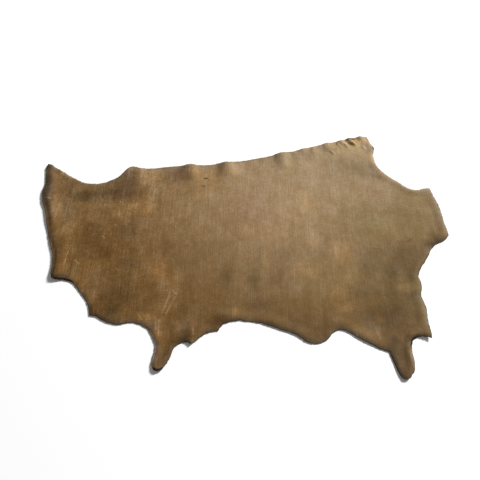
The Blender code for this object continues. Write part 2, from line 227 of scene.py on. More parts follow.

# The broad areas of the hide, its stains and bruises, and painted shade, shadows and highlights on
# its
# folds and edges, as marked: each one's middle and half sizes in millimetres, its tone in stops,
# its cast and its turn in degrees
PATCHES = read(Patch, 1, 5, (
    ("lower_butt", 840, -300, 380, 340, -0.4, "olive"),
    ("butt", 980, 160, 280, 260, -0.28, "yellow"),
    ("belly", 500, -230, 400, 260, 0.16, "yellow"),
    # Darker along the belly: partly the hide's own tone and partly painted shade of the light
    # falling off towards the belly
    ("belly_rim", 120, -480, 480, 120, -0.36, "orange"),
    ("back_light", 340, 180, 420, 340, 0.3),
    ("loin_gleam", 380, 250, 80, 130, 0.24),
    ("croup_gleam", 660, 320, 90, 60, 0.18),
    ("rib_light", 150, 40, 200, 130, 0.3),
    ("rib_glow", 30, 60, 70, 90, 0.26),
    ("side_light", 400, 0, 70, 80, 0.36),
    ("flank_gleam", 545, -60, 100, 120, 0.5),
    ("flank_glow", 550, -230, 60, 50, 0.26),
    ("flank_fair", 520, -300, 80, 60, 0.32),
    ("rib_gleam", 340, -170, 110, 80, 0.34),
    ("back_gleam", -200, 300, 120, 60, 0.22),
    ("side_warm", 860, 50, 340, 120, 0.0, "yellow"),
    ("belly_warm", 380, -380, 420, 110, -0.14, "orange"),
    ("back_rim", 50, 560, 750, 100, -0.22, "plain", 6),
    # Painted shade and painted light on the backbone ripples: each ripple's side that turns from
    # the light is painted darker, its lit side lighter
    ("ripple_a_dark", -600, 440, 55, 90, -0.46, "red"),
    ("ripple_a_light", -500, 450, 50, 90, 0.4),
    ("ripple_b_dark", -345, 435, 90, 100, -0.46, "violet"),
    ("ripple_b_light", -240, 460, 35, 70, 0.22, "violet"),
    ("ripple_c_dark", -110, 465, 55, 100, -0.42, "red"),
    ("ripple_c_light", -5, 500, 60, 80, 0.36, "violet"),
    ("ripple_d_dark", 225, 540, 50, 110, -0.12, "red"),
    ("ripple_d_light", 300, 520, 40, 100, 0.04, "yellow"),
    ("ripple_e_dark", 420, 580, 45, 80, -0.28),
    ("saddle_warm", -200, 420, 240, 140, -0.04, "orange"),
    ("shoulder_dark", -390, 440, 90, 90, -0.4),
    ("loin_dark", 260, 600, 120, 80, -0.16),
    ("rump_dark", 560, 510, 110, 130, -0.28),
    ("tail_root", 690, 655, 170, 100, 0.06, "yellow", 20),
    ("croup_edge", 545, 630, 50, 35, -0.4),
    # Painted shadow in the pocket under the tail root's curled flap, and painted highlights on the
    # crests beside it
    ("tail_pocket", 694, 712, 24, 11, -3.2, "brown"),
    ("tail_crest_light", 648, 684, 40, 14, 0.34, "violet"),
    ("tail_lip_light", 704, 662, 30, 16, 0.5, "yellow", -35),
    ("tail_lobe", 740, 697, 40, 30, 0.4, "yellow"),
    # Painted shade in the tail root's creases
    ("tail_fold", 716, 690, 10, 30, -0.6, "brown", 30),
    ("tail_pleat", 594, 681, 6, 22, -0.8, "brown"),
    ("tail_pleat_b", 552, 612, 30, 9, -0.6, "brown", -25),
    ("tail_smudge", 808, 641, 14, 14, -1.2, "grey"),
    ("tail_bruise", 710, 500, 190, 110, -0.44, "plain", -30),
    # Painted highlight on the tail notch's cut edge, which faces the light
    ("tail_rim", 895, 480, 55, 210, 0.95, "grey", 38),
    ("tail_side", 780, 560, 40, 70, 0.24, "yellow"),
    ("bruise", 805, 428, 60, 34, -0.46, "plain", -20),
    # Painted shade on the rolled neck edge, where it turns from the light
    ("neck_tip", -1085, 330, 55, 180, -1.2, "ash", 8),
    ("neck_point", -1130, 510, 50, 60, -1.6, "ash"),
    ("neck_hollow", -970, 360, 45, 55, -0.36),
    ("neck_grey", -990, 200, 140, 260, -0.2, "grey", 10),
    ("neck_light", -905, 80, 80, 130, 0.46, "grey"),
    ("neck_glow", -970, 200, 60, 65, 0.26, "grey"),
    ("neck_dark", -890, 300, 120, 70, -0.66, "olive"),
    ("neck_low", -790, -10, 260, 140, -0.4, "orange", -12),
    ("neck_middle", -610, 60, 110, 90, -0.58),
    ("withers_gleam", -670, 170, 60, 50, 0.36),
    ("neck_dusk", -790, 90, 100, 90, -0.42, "orange"),
    ("throat_dusk", -675, -80, 55, 55, -0.36, "orange"),
    ("neck_warm", -660, -10, 160, 200, 0.0, "orange"),
    ("neck_pool", -570, -140, 65, 75, -0.46),
    ("neck_gleam", -770, -150, 110, 70, 0.26),
    ("neck_side", -950, -30, 45, 110, -0.5, "plain", 10),
    ("notch_band", -760, 300, 220, 75, -0.8, "plain", 4),
    ("notch_tip", -1028, 445, 40, 60, 0.55),
    # Painted shade beside the raised throat corner
    ("throat_corner", -900, -210, 90, 60, -0.6, "grey"),
    ("notch_dark", -700, 400, 220, 110, -0.52),
    ("withers_dark", -640, 320, 150, 110, -0.62, "red"),
    ("withers_light", -560, 230, 130, 90, 0.55),
    ("withers_pale", -500, 190, 50, 80, 0.38),
    ("dewlap", -710, -250, 130, 120, 0.44, "ash"),
    ("brisket", -620, -340, 200, 150, -0.3),
    ("brisket_dark", -635, -418, 70, 70, -0.85),
    ("brisket_pale", -555, -385, 55, 60, 0.42),
    ("brisket_rim", -740, -340, 50, 100, 0.6, "ash", -30),
    ("brisket_foot", -540, -470, 220, 55, 0.16, "ash"),
    ("throat_light", -465, -60, 50, 110, 0.24),
    ("shoulder_warm", -415, -170, 100, 110, 0.48, "red"),
    ("shoulder_light", -350, -250, 110, 110, 0.48, "grey"),
    ("shank_top", -410, -410, 80, 120, 0.36, "grey"),
    ("pit_scar", -354, -376, 45, 130, 0.45, "grey", -10),
    ("shank_light", -470, -430, 70, 42, 0.6),
    ("shank_dusk", -410, -470, 30, 55, -0.4),
    ("shank_side", -345, -540, 30, 70, 0.36),
    # Painted light on the fore shank's left edge, which the sheet's slope turns from the light
    ("fore_shank", -410, -560, 60, 170, 0.55, "ash"),
    ("fore_tip", -370, -640, 110, 130, -0.1, "ash"),
    ("elbow_pit", -264, -505, 30, 40, -0.6, "red"),
    ("pit_dusk", -270, -400, 50, 70, -0.42, "orange"),
    ("elbow_fold", -262, -495, 30, 40, 0.1, "ash"),
    ("elbow_rim", -262, -545, 70, 55, -1.3),
    ("elbow_lichen", -250, -480, 90, 60, 0.2, "ash"),
    ("rib_dark", -160, -300, 130, 170, -0.16, "orange"),
    ("belly_dark", -80, -455, 110, 50, -0.9, "orange"),
    ("belly_dark_b", 95, -370, 90, 80, -0.38),
    ("belly_dark_c", 270, -465, 80, 45, -0.45),
    ("belly_lobe", 370, -530, 110, 60, -0.36),
    ("rib_dark_a", -71, -210, 60, 110, -0.4, "olive"),
    ("rib_dark_b", 73, -220, 50, 120, -0.42, "olive"),
    ("rib_dark_c", 190, -205, 50, 80, -0.24, "red"),
    ("rib_streak", 140, -130, 30, 100, 0.22, "yellow"),
    ("rib_pale", -19, -410, 22, 55, 0.45, "red"),
    ("back_violet", 60, 180, 280, 240, 0.02, "violet"),
    ("side_olive", 700, 130, 240, 220, -0.06, "olive"),
    ("loin_shade", 490, 360, 50, 80, -0.16),
    ("flank_dark", 610, -300, 110, 80, -0.42),
    ("side_dark", 680, -140, 90, 140, -0.42),
    ("flank_pale", 530, -385, 90, 50, 0.42, "plain", 10),
    ("flank_red", 490, -470, 120, 50, -0.5, "orange"),
    ("flank_orange", 645, -500, 60, 50, 0.1, "grey"),
    ("hock_light", 660, -505, 34, 70, 0.3, "plain", 10),
    ("hock_dark", 720, -430, 170, 120, -0.56),
    ("hock_glow", 700, -440, 45, 40, 0.42, "orange"),
    ("hock_warm", 680, -360, 130, 90, 0.0, "orange"),
    ("hock_shade", 740, -560, 50, 45, -0.5),
    ("hind_shank", 740, -600, 110, 200, 0.0, "grey"),
    ("hind_shank_dark", 730, -640, 90, 150, -0.7),
    ("hind_shank_light", 825, -615, 40, 75, 1.0, "grey"),
    ("hind_tip", 775, -700, 50, 50, -0.5),
    # Painted shadow under the lifted flank corner
    ("flank_corner", 858, -542, 80, 32, -1.6, "orange"),
    ("stifle_dark", 726, -82, 44, 40, -0.3, "red", -20),
    ("thigh_spot", 790, -180, 60, 60, -0.5),
    ("thigh_pale", 840, -235, 55, 35, 0.34),
    ("thigh_dark", 880, -80, 200, 150, -0.6, "orange"),
    ("thigh_rim", 910, -400, 70, 130, 0.55, "grey"),
    ("flank_notch", 862, -272, 100, 50, 0.72, "plain", 6),
    # Painted shade on the folded butt tip
    ("butt_tip", 1065, -15, 110, 80, -1.5, "orange"),
    ("spot_a", 920, 4, 30, 12, -0.34, "plain", 25),
    ("spot_b", 554, 5, 12, 24, -0.34, "olive"),
    ("spot_c", 655, -148, 14, 14, -0.26, "olive"),
    ("spot_d", 470, -46, 16, 12, -0.22),
    ("spot_e", 980, -90, 20, 18, -0.22, "olive"),
    ("spot_f", 178, 470, 26, 20, -0.2),
    # Painted shade at the two slits, darkening their lips where the narrow cuts lie in shade
    ("slit_a", -194, 417, 17, 6.2, -2.9, "brown"),
    ("slit_b", -203, 362, 15, 5.6, -2.7, "brown"),
))

# Stretches of the rim painted darker or lighter, and how far in that reaches: painted shadow along
# the lower edges and under lifted corners, painted shade and light on the rolled neck edge,
# painted highlights on edges that face the light, and a few stretches that are only darker or
# paler
RIMS = read(Rim, 1, 6, (
    # Painted shadow along all the lower edges
    ("low_rim", 0, -640, 1300, 440, 5, -0.95),
    # Painted shade on the rolled neck edge, where it turns from the light
    ("neck_roll", -1080, 320, 110, 260, 48, -0.6, "plain", 8),
    ("neck_roll_low", -980, -50, 80, 240, 34, -0.6, "plain", 15),
    # Painted light on the rolled neck edge's outer lip
    ("neck_lip", -1090, 140, 70, 190, 23, 1.4, "plain", 12),
    ("neck_lip_low", -990, -100, 50, 130, 20, 1.4, "plain", 8),
    # Painted highlight on the neck notch's cut edge, which faces the light
    ("neck_notch", -840, 420, 220, 90, 7, 0.7, "ash"),
    # Painted shadow under the raised throat corner and the fore shank's lifted tip, painted light
    # on the fore shank's left edge, painted shadow along the hind shank's edge
    ("throat_corner", -900, -235, 65, 35, 14, -3.0),
    ("fore_tip", -375, -705, 60, 30, 14, -2.6),
    ("fore_side", -412, -585, 36, 125, 8.5, 1.9, "ash"),
    ("hind_shank", 700, -640, 60, 150, 7, -0.9, "plain", 20),
    # Painted shadow under the lifted flank corner
    ("flank_corner", 850, -560, 70, 35, 12, -2.6),
    ("tail_tip", 730, 735, 120, 30, 7, -0.9),
    ("tail_side", 830, 640, 50, 70, 11, -0.6, "ash"),
    # Painted highlight on the tail notch's cut edge, which faces the light
    ("tail_notch", 910, 460, 70, 220, 11, 0.5, "ash", 38),
    ("thigh_edge", 920, -390, 60, 150, 8, -0.3, "ash"),
    ("thigh_notch", 960, -120, 50, 100, 8, -0.8, "plain", -25),
    ("butt_rim", 1080, 180, 70, 200, 16, 0.05, "ash"),
    ("hind_side", 815, -660, 30, 100, 12, 0.1, "ash"),
))

# Scratches and healed scars, mostly on the neck and the shank pits: both ends and the half width
# in millimetres, and the strength
SCUFFS = read(Scuff, 0, 5, (
    (-893, -30, -905, -80, 3.2, 0.55),
    (-905, -80, -908, -140, 3.2, 0.5),
    (-888, -10, -880, -70, 2.5, 0.3),
    (-792, 298, -750, 228, 3, 0.5),
    (-758, 296, -782, 230, 3, 0.45),
    (-668, 256, -648, 238, 4.5, 0.55),
    (-680, 104, -664, 94, 4.5, 0.5),
    (-736, 30, -720, 16, 4.5, 0.45),
    (-856, -118, -834, -140, 5, 0.55),
    (-842, -150, -850, -186, 3, 0.35),
    (-482, 334, -454, 366, 3, 0.5),
    (-820, 75, -700, 68, 2.2, 0.28),
    (-810, 40, -690, 46, 2.2, 0.24),
    (-640, -166, -622, -176, 4, 0.5),
    (-1092, 275, -1060, 268, 6, 0.6),
    (-364, -290, -340, -284, 6.5, 0.38),
    (-340, -284, -312, -312, 6, 0.38),
    (-348, -329, -308, -293, 3, 0.4),
    (-346, -300, -378, -420, 8, 0.32),
    (-320, -325, -359, -415, 6.5, 0.26),
    (-410, -430, -402, -500, 3, 0.4),
    (-392, -445, -384, -530, 3, 0.35),
    (-502, -405, -476, -442, 10, 0.16),
    (-478, -406, -450, -448, 10, 0.18),
    (-452, -408, -436, -442, 8, 0.14),
    (-222, -486, -218, -520, 4.5, 0.45),
    (289, -165, 285, -245, 3, 0.35),
    (660, -465, 674, -545, 11, 0.18),
    (708, -46, 745, -50, 5, -0.7),
    (745, -50, 762, -70, 5, -0.7),
    (902, -10, 926, 14, 5, -0.6),
    (-318, 470, -312, 385, 3.5, -0.35),
    (-301, 480, -297, 400, 3.5, -0.4),
    (-285, 474, -284, 404, 3.5, -0.4),
))

# The broad tone of the grain side, in stops: how it climbs towards the backbone from its middle,
# partly the hide's own tone and partly painted light that falls off away from the key light
RISE_AND_LIGHT_TO_BACK = 0.95
MIDDLE_TONE = -0.20
# Eased values, each from where to where, and from what to what. Along the hide: how dark the fore
# quarter is, partly its own tone and partly painted shade away from the key light, how coarse it
# is, how many small scratches the neck has, and how grey the tan turns, partly its own grey and
# partly painted sheen towards the light.
FORE_TONE_AND_SHADE = (-0.72, 0.02, -0.48, 0.0)
FORE_GRAIN = (-0.72, 0.02, 1.9, 1.0)
SCRATCHED = (-0.80, -0.20, 1.0, 0.12)
GREYNESS_AND_SHEEN = (-0.85, 0.30, 0.08, 0.65)
# In from the cut edge: how grey and how much darker it is, and how low its corner is rubbed, in
# millimetres
EDGE_GREY = (0.0, 0.035, 0.45, 0.0)
EDGE_DARKER = (0.0, 0.020, -0.20, 0.0)
EDGE_WEAR = (0.0, 0.005, -1.0, 0.0)
# Over the mottling: how strong the streaks are, which flecks are pale, and where scuffs break off
STREAKED = (-1.4, 1.2, 0.35, 1.2)
PALE_FLECKS = (0.6, 1.5)
UNBROKEN = (-0.9, 0.5)
# The fine streaks, the broad bands and the neck's small scratches, which run at these angles to
# Y in degrees and show where their noise crests; then the bands' share of the streaks' strength
STREAK = {"Width": 0.0065, "Length": 0.12}
BAND = {"Width": 0.045, "Length": 0.42}
STROKE = {"Width": 0.0032, "Length": 0.045}
STROKE_TURNS = (-26.0, 11.0, 68.0)
STROKE_CREST = (0.85, 1.5)
BAND_SHARE = 0.55
# The mottling's layers: their sizes, and their shares of its strength
MOTTLES = {
    "drift": (0.24, 1.0),
    "cloud": (0.075, 0.95),
    "speck": (0.024, 0.85),
    "fleck": (0.007, 1.7),
}
# The light and the dark bands turn the tan towards these casts, which start at a share of the
# strength at which they are full
BAND_START = 0.1
BAND_CASTS = (("red", 1.5), ("olive", -1.5))
# How far red, green and blue follow the grain's lighter and darker specks
GRAIN_FOLLOWS = (0.8, 1.0, 1.5)
# The tan turns greyer by this much for each metre towards the backbone, partly its own grey and
# partly painted sheen where the nap faces the light
GREY_AND_SHEEN_ACROSS = 0.58
# Patches at least this wide, and all scuffs, are uneven: over what size they stray, and how far
STRAY_FROM = 0.03
PATCH_STRAY = (0.05, 0.06)
SCUFF_STRAY = (0.012, 0.004)
# Rims are full within this share of their oval and of their reach
RIM_CORE = 0.6
RIM_FULL = 0.4
# How deep wrinkles, dimples and scuffs are in the grain, in millimetres
WRINKLE_DEPTH = 0.16
DIMPLE_DEPTH = 0.14
SCUFF_DEPTH = 0.25
MILLIMETRE = 0.001
# The tufts and fibres of the grain side, the flesh side and the cut edge: how large they are,
# and how deep in millimetres. The cut edge's are pressed into layers.
GRAIN_NAP = {"Tuft": 0.0011, "Depth": 0.10}
FLESH_NAP = {"Tuft": 0.0016, "Depth": 0.22}
FLESH_FIBRE = {"Width": 0.004, "Length": 0.03}
FIBRE_DEPTH = 0.20
CUT_FIBRE = {"Tuft": 0.0005, "Depth": 0.10}
LAYERED = (0.12, 0.12, 1.0)
# Tufts stand in clumps: a tuft's size as a share of a clump's, and how strong the clumps are
CLUMP = (0.22, 0.22, 0.22)
CLUMP_SHARE = 0.7
# The sizes of the flesh side's clouds and specks, and of the cut edge's soiled places
FLESH_CLOUD = 0.11
FLESH_SPECK = 0.012
CUT_SOIL = 0.06
# How far each of these moves the tone, in stops: the grain's nap, then the flesh side's clouds,
# specks, fibres and nap, then the cut edge's soil and layers
NAP_TONE = 0.04
FLESH_TONES = (0.20, 0.12, 0.10, 0.08)
CUT_TONES = (0.45, 0.20)
# How far the clouds and the streaks move the greyness, and the clouds the end of the scratches
CLOUD_GREY = 0.14
STREAK_GREY = -0.07
CLOUD_SCRATCHED = -0.2
# How strongly the flesh side's and the cut edge's fibres catch light, and in what colour
FLESH_SHEEN = 0.2
CUT_SHEEN = 0.1
SHEEN_TINT = (0.80, 0.68, 0.52, 1.0)
ORIGIN = (0.0, 0.0, 0.0)

# The studio: the floor's half side and its gap under the leather, the key light's distance and
# size, and the camera's sensor in millimetres
FLOOR_HALF = 20.0
FLOOR_DROP = 0.0002
KEY_DISTANCE = 24.0
KEY_SIZE = 5.0
SENSOR = 36.0

# What every colour property has
COLOUR = {"size": 4, "min": 0.0, "max": 1.0, "subtype": "COLOR"}


class HideForm(bpy.types.PropertyGroup):
    """Sizes of the leather sheet."""

    thickness: FloatProperty(
        name="Thickness", description="Thickness of the leather",
        default=0.002, min=0.0005, unit="LENGTH",
    )
    flat_step: FloatProperty(
        name="Step on the flat",
        description="How far apart the sheet's points stand where it lies flat",
        default=0.009, min=0.004, unit="LENGTH",
    )
    edge_round: FloatProperty(
        name="Edge rounding", description="How far the cut edge's upper corner is rubbed back",
        default=0.0005, unit="LENGTH",
    )
    ragged: FloatProperty(
        name="Raggedness", description="How far the knife strayed from the smooth outline",
        default=0.0032, unit="LENGTH",
    )
    crease_share: FloatProperty(
        name="Creases", description="Share of the small creases' full height",
        default=1.0, min=0.0, max=2.0, subtype="FACTOR",
    )


class HideFinish(bpy.types.PropertyGroup):
    """Colours and finish of the nubuck."""

    warm_tan: FloatVectorProperty(
        name="Warm tan", description="Colour of the buffed grain on the neck and belly",
        default=(0.250, 0.129, 0.036, 1.0), **COLOUR,
    )
    # The grey tan is partly the nap's own colour and partly painted sheen where it faces the light
    grey_tan_and_sheen: FloatVectorProperty(
        name="Grey tan", description="Colour of the buffed grain on the back and butt",
        default=(0.250, 0.177, 0.100, 1.0), **COLOUR,
    )
    scuff_tan: FloatVectorProperty(
        name="Scuffed nap", description="Colour of scratches in the nap",
        default=(0.450, 0.315, 0.170, 1.0), **COLOUR,
    )
    mark_brown: FloatVectorProperty(
        name="Dark marks", description="Colour of dark lines in the grain",
        default=(0.080, 0.050, 0.025, 1.0), **COLOUR,
    )
    flesh_tan: FloatVectorProperty(
        name="Flesh side", description="Colour of the suede flesh side",
        default=(0.330, 0.235, 0.150, 1.0), **COLOUR,
    )
    edge_tan: FloatVectorProperty(
        name="Cut edge", description="Colour of the raw cut edge",
        default=(0.270, 0.215, 0.160, 1.0), **COLOUR,
    )
    streaks: FloatProperty(
        name="Streaks", description="Strength of the fine streaks across the hide, in stops",
        default=0.28, min=0.0,
    )
    mottling: FloatProperty(
        name="Mottling", description="Strength of the cloudy mottling, in stops",
        default=0.22, min=0.0,
    )
    strokes: FloatProperty(
        name="Strokes", description="Strength of the neck's many small scratches, in stops",
        default=1.2, min=0.0,
    )
    sheen: FloatProperty(
        name="Nap sheen", description="How strongly the raised nap catches light at a glance",
        default=0.05, min=0.0, max=1.0, subtype="FACTOR",
    )


class Studio(bpy.types.PropertyGroup):
    """The floor, the light and the camera."""

    floor_white: FloatVectorProperty(
        name="Floor", description="Colour of the studio floor",
        default=(0.95, 0.95, 0.95, 1.0), **COLOUR,
    )
    sky: FloatProperty(
        name="Even light", description="Strength of the light that comes evenly from all round",
        default=0.22, min=0.0,
    )
    key: FloatProperty(
        name="Key light", description="Power of the soft light beside the butt",
        default=11900.0, min=0.0, unit="POWER",
    )
    key_height: FloatProperty(
        name="Key light height", description="Angle of the key light above the floor",
        default=math.radians(27.0), subtype="ANGLE",
    )
    key_turn: FloatProperty(
        name="Key light turn",
        description="Angle of the key light round from the butt towards the backbone",
        default=math.radians(40.0), subtype="ANGLE",
    )
    camera_place: FloatVectorProperty(
        name="Camera place", description="Where the camera stands",
        default=(0.006, -1.258, 2.188), size=3, subtype="TRANSLATION",
    )
    camera_dip: FloatProperty(
        name="Camera dip", description="How far the camera looks down from the horizon",
        default=math.radians(60.0), subtype="ANGLE",
    )
    lens: FloatProperty(
        name="Lens", description="Focal length in millimetres, on a sensor 36 millimetres wide",
        default=35.25, min=1.0,
    )


class Skin(NamedTuple):
    """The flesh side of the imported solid, as points, slopes and triangles, and its rims."""

    points: list
    slopes: list
    triangles: list
    tree: BVHTree
    rims: list


def flesh_side(node):
    """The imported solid's flesh side alone, as one welded skin."""
    bm = bmesh.new()
    bm.from_mesh(node.data)
    bmesh.ops.remove_doubles(bm, verts=bm.verts, dist=WELD)
    start = min(bm.faces, key=lambda face: face.normal.z)
    side = {start}
    todo = [start]
    while todo:
        for edge in todo.pop().edges:
            for face in edge.link_faces:
                if face not in side and edge.calc_face_angle() < SIDE_TURN:
                    side.add(face)
                    todo.append(face)
    others = [face for face in bm.faces if face not in side]
    bmesh.ops.delete(bm, geom=others, context="FACES")
    bm.normal_update()
    bm.verts.index_update()
    return bm


def rim_runs(bm):
    """The skin's closed rims as runs of points, the outline first and then the slits."""
    ahead = {}
    for edge in bm.edges:
        if edge.is_boundary:
            loop = edge.link_loops[0]
            ahead[loop.vert] = loop.link_loop_next.vert
    runs = []
    while ahead:
        first, vert = ahead.popitem()
        run = [first.co.xy]
        while vert is not first:
            run.append(vert.co.xy)
            vert = ahead.pop(vert)
        runs.append(run)
    return sorted(runs, key=len, reverse=True)


def read_skin(node):
    """The node's flesh side, ready to be measured and followed."""
    bm = flesh_side(node)
    points = [vert.co.copy() for vert in bm.verts]
    slopes = [Vector((-vert.normal.x, -vert.normal.y)) / vert.normal.z for vert in bm.verts]
    triangles = [[vert.index for vert in face.verts] for face in bm.faces]
    flat = [Vector((point.x, point.y, 0.0)) for point in points]
    rims = rim_runs(bm)
    bm.free()
    return Skin(points, slopes, triangles, BVHTree.FromPolygons(flat, triangles), rims)


def lie(skin, spot):
    """The flesh side's height over a spot, curved smoothly between the solid's points."""
    near, _, index, _ = skin.tree.find_nearest(Vector((spot[0], spot[1], 0.0)))
    corners = skin.triangles[index]
    shares = poly_3d_calc([Vector((*skin.points[i].xy, 0.0)) for i in corners], near)
    height = 0.0
    for share, i in zip(shares, corners):
        rise = skin.slopes[i].dot(near.xy - skin.points[i].xy)
        height += share * (skin.points[i].z + 0.5 * rise)
    return height


def run_directions(run):
    """The unit direction at each point of a closed run, or none at a corner."""
    found = []
    for i, here in enumerate(run):
        back = here - run[i - 1]
        ahead = run[(i + 1) % len(run)] - here
        blend = back.normalized() * ahead.length + ahead.normalized() * back.length
        found.append(None if back.angle(ahead) > CORNER_TURN else blend.normalized())
    return found


def smooth_run(run, step):
    """A closed run drawn as a smooth curve between its corners, with points a step apart."""
    directions = run_directions(run)
    points = []
    for i, start in enumerate(run):
        end = run[(i + 1) % len(run)]
        chord = end - start
        leave = directions[i] or chord.normalized()
        arrive = directions[(i + 1) % len(run)] or chord.normalized()
        handle = chord.length / 3.0
        steps = max(1, round(chord.length / step))
        ends = (start, start + leave * handle, end - arrive * handle, end)
        curve = interpolate_bezier(*[point.to_3d() for point in ends], steps + 1)
        points += [point.xy for point in curve[:-1]]
    return np.array(points)


def outward(loop):
    """The unit direction away from the leather at each point of a rim."""
    along = np.roll(loop, -1, axis=0) - np.roll(loop, 1, axis=0)
    away = np.column_stack((-along[:, 1], along[:, 0]))
    return away / np.linalg.norm(away, axis=1)[:, None]


def hand_cut(loop, ragged):
    """A rim with the small waves of a knife led by hand."""
    lengths = np.linalg.norm(np.roll(loop, -1, axis=0) - loop, axis=1)
    whole = lengths.sum()
    turn = math.tau * np.concatenate(([0.0], np.cumsum(lengths)[:-1])) / whole
    stray = np.zeros(len(loop))
    for length, share in KNIFE_WAVES:
        radius = whole / length / math.tau
        rings = [Vector((radius * math.cos(a), radius * math.sin(a), share)) for a in turn]
        stray += share * np.array([noise.noise(place) for place in rings])
    return loop + outward(loop) * (ragged * stray)[:, None]


def bell(share):
    """1 at the middle, level at both ends, and 0 from a share of 1 outwards."""
    return np.cos(np.clip(share, 0.0, 1.0) * math.pi / 2.0) ** 2


def crease_place(spots, crease):
    """How far each spot lies from a crease, and its share of the way along it."""
    marks = np.array(crease.marks)
    lengths = np.linalg.norm(np.diff(marks, axis=0), axis=1)
    away = np.full(len(spots), np.inf)
    along = np.zeros(len(spots))
    for i, length in enumerate(lengths):
        run = marks[i + 1] - marks[i]
        share = np.clip((spots - marks[i]) @ run / length**2, 0.0, 1.0)
        gap = np.linalg.norm(spots - marks[i] - share[:, None] * run, axis=1)
        here = (lengths[:i].sum() + share * length) / lengths.sum()
        along = np.where(gap < away, here, along)
        away = np.minimum(away, gap)
    return away, along


def crease_height(spots, share):
    """What all the creases add to the height at each spot."""
    height = np.zeros(len(spots))
    for crease in CREASES:
        away, along = crease_place(spots, crease)
        fade = bell(np.abs(2.0 * along - 1.0) ** 2)
        height += crease.height * bell(away / crease.half_width) * fade
    return share * height


def near_crease(spots):
    """Which spots lie on or beside a narrow crease."""
    near = np.zeros(len(spots), bool)
    for crease in CREASES:
        if crease.half_width < NARROW_CREASE:
            near |= crease_place(spots, crease)[0] < CREASE_BAND * crease.half_width
    return near


def edge_tree(rims):
    """The rims' points, ready to be searched for the nearest."""
    points = np.vstack(rims)
    tree = KDTree(len(points))
    for i, point in enumerate(points):
        tree.insert((point[0], point[1], 0.0), i)
    tree.balance()
    return tree


def edge_gap(tree, spots):
    """How far each spot lies from the cut edge."""
    return np.array([tree.find((x, y, 0.0))[2] for x, y in spots])


def grid_spots(edges, flat_step):
    """An even triangular grid over the leather, twice as fine by its edge and on its puckers."""
    step = flat_step / 2.0
    low, high = CAD_BOX
    rows = int((high.y - low.y) / 2.0 / (step * ROW_SHARE)) + 2
    columns = int((high.x - low.x) / 2.0 / step + rows / 2.0) + 2
    j, i = np.mgrid[-rows:rows + 1, -columns:columns + 1]
    x = (i + 0.5 * j) * step
    y = j * ROW_SHARE * step
    within = (x > low.x) & (x < high.x)
    spots = np.column_stack((x[within], y[within]))
    coarse = ((i % 2 == 0) & (j % 2 == 0))[within]
    gaps = edge_gap(edges, spots)
    fine = (gaps < EDGE_BAND) | near_crease(spots)
    keep = (coarse | fine) & (gaps > CLEAR_SHARE * step)
    return spots[keep]


def inside(spots, loop):
    """Which spots lie within a closed loop."""
    x, y = spots[:, 0:1], spots[:, 1:2]
    x0, y0 = loop[:, 0], loop[:, 1]
    x1, y1 = np.roll(x0, -1), np.roll(y0, -1)
    spans = (y0 > y) != (y1 > y)
    rise = np.where(y1 == y0, 1.0, y1 - y0)
    crossings = spans & (x < x0 + (y - y0) * (x1 - x0) / rise)
    return crossings.sum(axis=1) % 2 == 1


def triangulate(rims, spots):
    """Triangles between the rims, with the slits left open."""
    lines = []
    first = 0
    for rim in rims:
        count = len(rim)
        lines += [(first + i, first + (i + 1) % count) for i in range(count)]
        first += count
    flat = [Vector(point) for point in np.vstack([*rims, spots])]
    flat, _, faces, _, _, _ = delaunay_2d_cdt(flat, lines, [], INSIDE_ONLY, WELD)
    points = np.array(flat)
    faces = np.array(faces)
    centres = points[faces].mean(axis=1)
    in_slit = np.any([inside(centres, rim) for rim in rims[1:]], axis=0)
    faces = faces[~in_slit]
    used = np.unique(faces)
    renumbered = np.zeros(len(points), int)
    renumbered[used] = np.arange(len(used))
    return points[used], renumbered[faces]


def settle(heights, faces):
    """The heights, evened out a little between neighbours."""
    pairs = np.vstack([faces[:, [0, 1]], faces[:, [1, 2]], faces[:, [2, 0]]])
    pairs = np.unique(np.sort(pairs, axis=1), axis=0)
    count = np.bincount(pairs.ravel(), minlength=len(heights))
    for _ in range(SETTLE_PASSES):
        total = np.bincount(pairs[:, 0], heights[pairs[:, 1]], len(heights))
        total += np.bincount(pairs[:, 1], heights[pairs[:, 0]], len(heights))
        heights = 0.5 * (heights + total / count)
    return heights


def laid_skin(form):
    """The new flesh side as a skin that faces up, with each point's distance from the outline."""
    skin = read_skin(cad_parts[NODE])
    fine = form.flat_step / 2.0
    rims = [hand_cut(smooth_run(skin.rims[0], fine), form.ragged)]
    for run in skin.rims[1:]:
        slit = smooth_run(run, fine / 2.0)
        middle = slit.mean(axis=0)
        slit = middle + (slit - middle) * (1.0, SLIT_PINCH)
        rims.append(hand_cut(slit, SLIT_RAGGED * form.ragged))
    spots, faces = triangulate(rims, grid_spots(edge_tree(rims), form.flat_step))
    heights = np.array([lie(skin, spot) for spot in spots])
    heights = settle(heights + crease_height(spots, form.crease_share), faces)
    bm = bmesh.new()
    gap = bm.verts.layers.float.new(FROM_EDGE)
    gaps = edge_gap(edge_tree(rims[:1]), spots)
    for (x, y), z, away in zip(spots, np.maximum(heights, 0.0), gaps):
        bm.verts.new((x, y, z))[gap] = away
    bm.verts.ensure_lookup_table()
    for face in faces:
        bm.faces.new([bm.verts[i] for i in face])
    bmesh.ops.recalc_face_normals(bm, faces=bm.faces)
    bm.normal_update()
    if sum(face.normal.z for face in bm.faces) < 0.0:
        bmesh.ops.reverse_faces(bm, faces=bm.faces)
        bm.normal_update()
    return bm


def rim_outward(vert):
    """The level direction away from the leather at a point of its rim."""
    away = Vector((0.0, 0.0, 0.0))
    for edge in vert.link_edges:
        if len(edge.link_faces) == 1:
            loop = edge.link_loops[0]
            along = loop.link_loop_next.vert.co - loop.vert.co
            away += Vector((along.y, -along.x, 0.0)).normalized()
    return away.normalized()


